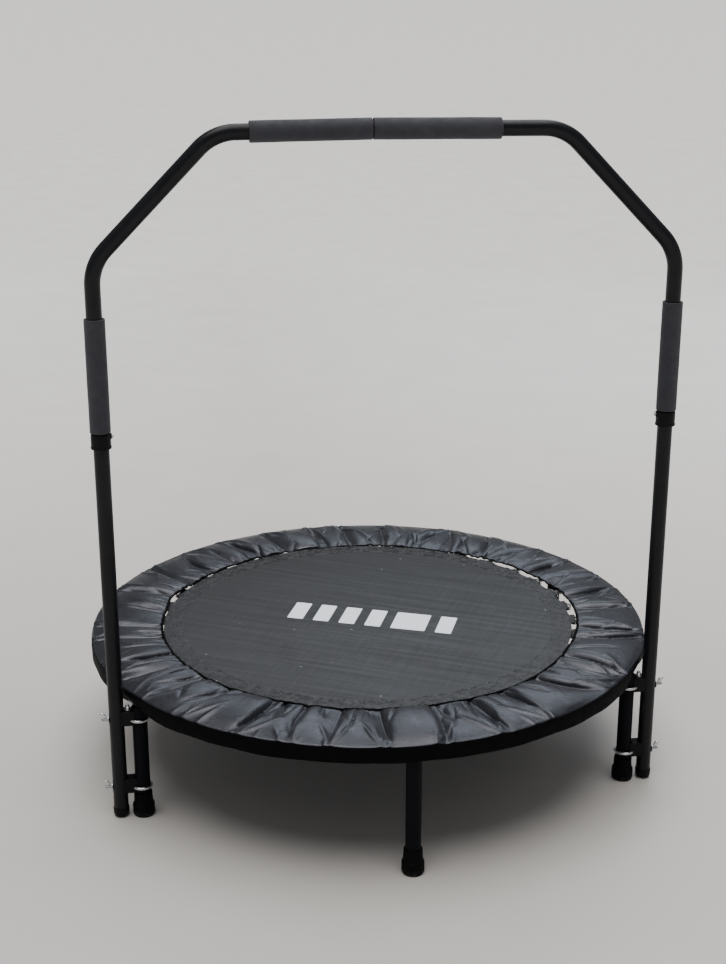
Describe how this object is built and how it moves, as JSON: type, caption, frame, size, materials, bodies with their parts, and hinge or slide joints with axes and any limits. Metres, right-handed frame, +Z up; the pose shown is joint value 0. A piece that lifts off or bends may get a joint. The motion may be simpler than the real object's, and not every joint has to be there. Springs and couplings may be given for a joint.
{
  "type": "mini trampoline",
  "caption": "Round indoor fitness trampoline on short legs, with a gathered spring cover and a height-adjustable arched handle bar clamped to two legs.",
  "frame": {"origin": "on the floor, under the centre of the round frame", "axes": "+Z up; -Y towards the handle and the front leg; the handle's plane is parallel to X"},
  "size_m": [1.013, 1.015, 1.157],
  "materials": {
    "frame_paint": "satin black powder coat",
    "zinc": "bright zinc plate",
    "spring_steel": "zinc-plated spring wire",
    "black_plastic": "fine moulded grain",
    "foot_rubber": "matte",
    "grip_foam": "matte closed-cell foam",
    "mat_weave": "tight woven polypropylene",
    "cover_cloth": "satin polyester, gathered"
  },
  "bodies": {
    "frame": {"block_stud_left": "zinc", "block_stud_right": "zinc", "eye_bolt_lower_left": "zinc", "eye_bolt_lower_right": "zinc", "eye_bolt_upper_left": "zinc", "eye_bolt_upper_right": "zinc", "foot_front": "foot_rubber", "foot_front_left": "foot_rubber", "foot_front_right": "foot_rubber", "foot_rear": "foot_rubber", "foot_rear_left": "foot_rubber", "foot_rear_right": "foot_rubber", "frame_ring": "frame_paint", "height_collar_left": "black_plastic", "height_collar_right": "black_plastic", "leg_front": "frame_paint", "leg_front_left": "frame_paint", "leg_front_right": "frame_paint", "leg_rear": "frame_paint", "leg_rear_left": "frame_paint", "leg_rear_right": "frame_paint", "leg_stud_front": "zinc", "leg_stud_front_left": "zinc", "leg_stud_front_right": "zinc", "leg_stud_rear": "zinc", "leg_stud_rear_left": "zinc", "leg_stud_rear_right": "zinc", "saddle_block_lower_left": "black_plastic", "saddle_block_lower_right": "black_plastic", "saddle_block_upper_left": "black_plastic", "saddle_block_upper_right": "black_plastic", "spring_cover": "cover_cloth", "spring_set": "spring_steel", "upright_cap_left": "black_plastic", "upright_cap_right": "black_plastic", "upright_left": "frame_paint", "upright_right": "frame_paint", "washer_lower_left": "zinc", "washer_lower_right": "zinc", "washer_upper_left": "zinc", "washer_upper_right": "zinc"},
    "handle": {"arch_half_left": "frame_paint", "arch_half_right": "frame_paint", "arch_joiner": "frame_paint", "bar_grip_left": "grip_foam", "bar_grip_right": "grip_foam", "inner_tube_left": "frame_paint", "inner_tube_right": "frame_paint", "side_grip_left": "grip_foam", "side_grip_right": "grip_foam"},
    "mat_surface": {"mat": "mat_weave", "mat_hem": "mat_weave"},
    "height_screw_left": {"height_screw_left": "zinc"},
    "height_screw_right": {"height_screw_right": "zinc"},
    "wing_nut_lower_left": {"wing_nut_lower_left": "zinc"},
    "wing_nut_lower_right": {"wing_nut_lower_right": "zinc"},
    "wing_nut_upper_left": {"wing_nut_upper_left": "zinc"},
    "wing_nut_upper_right": {"wing_nut_upper_right": "zinc"}
  },
  "joints": [
    {"name": "handle_height", "type": "slide", "parent": "frame", "child": "handle", "axis": [0, 0, 1], "range_m": [0, 0.15]},
    {"name": "mat_bounce", "type": "slide", "parent": "frame", "child": "mat_surface", "axis": [0, 0, 1], "range_m": [-0.1, 0], "stiffness_N_per_m": 8000, "deforming": ["spring_set"]},
    {"name": "wing_nut_upper_left_turn", "type": "hinge", "parent": "frame", "child": "wing_nut_upper_left", "pos_m": [-0.479, -0.2445, 0.181], "axis": [-1, 0, 0], "continuous": true},
    {"name": "wing_nut_lower_left_turn", "type": "hinge", "parent": "frame", "child": "wing_nut_lower_left", "pos_m": [-0.479, -0.2445, 0.055], "axis": [-1, 0, 0], "continuous": true},
    {"name": "height_screw_left_turn", "type": "hinge", "parent": "frame", "child": "height_screw_left", "pos_m": [-0.443, -0.2445, 0.6738], "axis": [1, 0, 0], "continuous": true},
    {"name": "wing_nut_upper_right_turn", "type": "hinge", "parent": "frame", "child": "wing_nut_upper_right", "pos_m": [0.479, -0.2445, 0.181], "axis": [1, 0, 0], "continuous": true},
    {"name": "wing_nut_lower_right_turn", "type": "hinge", "parent": "frame", "child": "wing_nut_lower_right", "pos_m": [0.479, -0.2445, 0.055], "axis": [1, 0, 0], "continuous": true},
    {"name": "height_screw_right_turn", "type": "hinge", "parent": "frame", "child": "height_screw_right", "pos_m": [0.443, -0.2445, 0.6738], "axis": [-1, 0, 0], "continuous": true}
  ]
}
